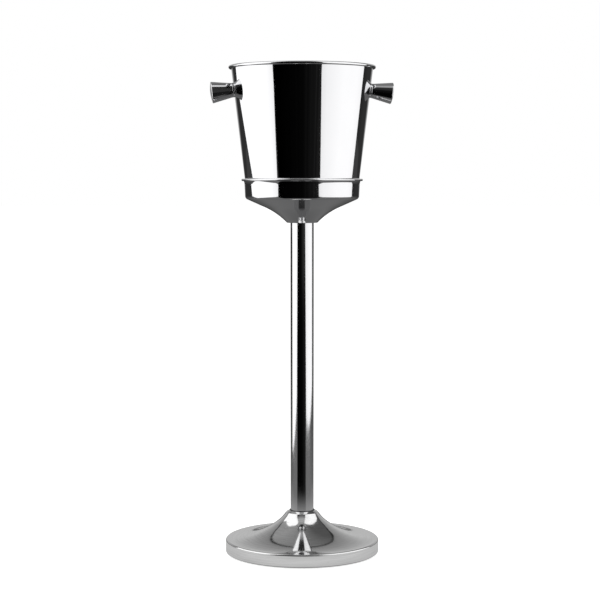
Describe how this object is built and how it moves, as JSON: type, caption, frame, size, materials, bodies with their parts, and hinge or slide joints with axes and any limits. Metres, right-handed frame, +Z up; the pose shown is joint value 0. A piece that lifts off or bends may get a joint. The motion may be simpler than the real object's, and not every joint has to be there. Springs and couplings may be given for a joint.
{
  "type": "champagne bucket stand",
  "caption": "Floor stand with a weighted round foot, a slim column and a flared cup, carrying a tapered polished steel bucket with knob handles.",
  "frame": {"origin": "centre of the round foot, on the floor", "axes": "+Z up along the column, X through the two bucket knobs, -Y towards the viewer at the front"},
  "size_m": [0.2752, 0.232, 0.734],
  "materials": {
    "bucket_chrome": "polished",
    "cup_chrome": "polished",
    "column_chrome": "polished",
    "knob_chrome": "polished",
    "foot_steel": "satin",
    "cast_iron": "matte",
    "turned_steel": "satin",
    "zinc_hardware": "satin",
    "bush_nylon": "matte",
    "pad_rubber": "matte",
    "seat_rubber": "matte",
    "gasket_rubber": "matte"
  },
  "bodies": {
    "stand": {"base_shell": "foot_steel", "ballast_weight": "cast_iron", "base_pad": "pad_rubber", "neck_bush": "bush_nylon", "column_tube": "column_chrome", "lower_plug": "turned_steel", "upper_plug": "turned_steel", "base_bolt": "zinc_hardware", "base_washer": "zinc_hardware", "base_spring_washer": "zinc_hardware", "holder_cup": "cup_chrome", "cup_bolt": "zinc_hardware", "cup_washer": "zinc_hardware", "cup_spring_washer": "zinc_hardware"},
    "seat": {"seat_ring": "seat_rubber"},
    "bucket": {"bucket_shell": "bucket_chrome", "knob_left": "knob_chrome", "knob_collar_left": "knob_chrome", "knob_gasket_left": "gasket_rubber", "knob_washer_left": "zinc_hardware", "knob_screw_left": "zinc_hardware", "knob_right": "knob_chrome", "knob_collar_right": "knob_chrome", "knob_gasket_right": "gasket_rubber", "knob_washer_right": "zinc_hardware", "knob_screw_right": "zinc_hardware"}
  },
  "joints": [
    {"name": "bucket_turn", "type": "hinge", "parent": "stand", "child": "seat", "pos_m": [0, 0, 0.536], "axis": [0, 0, 1], "continuous": true},
    {"name": "bucket_lift", "type": "slide", "parent": "seat", "child": "bucket", "axis": [0, 0, 1], "range_m": [0, 0.15]}
  ]
}
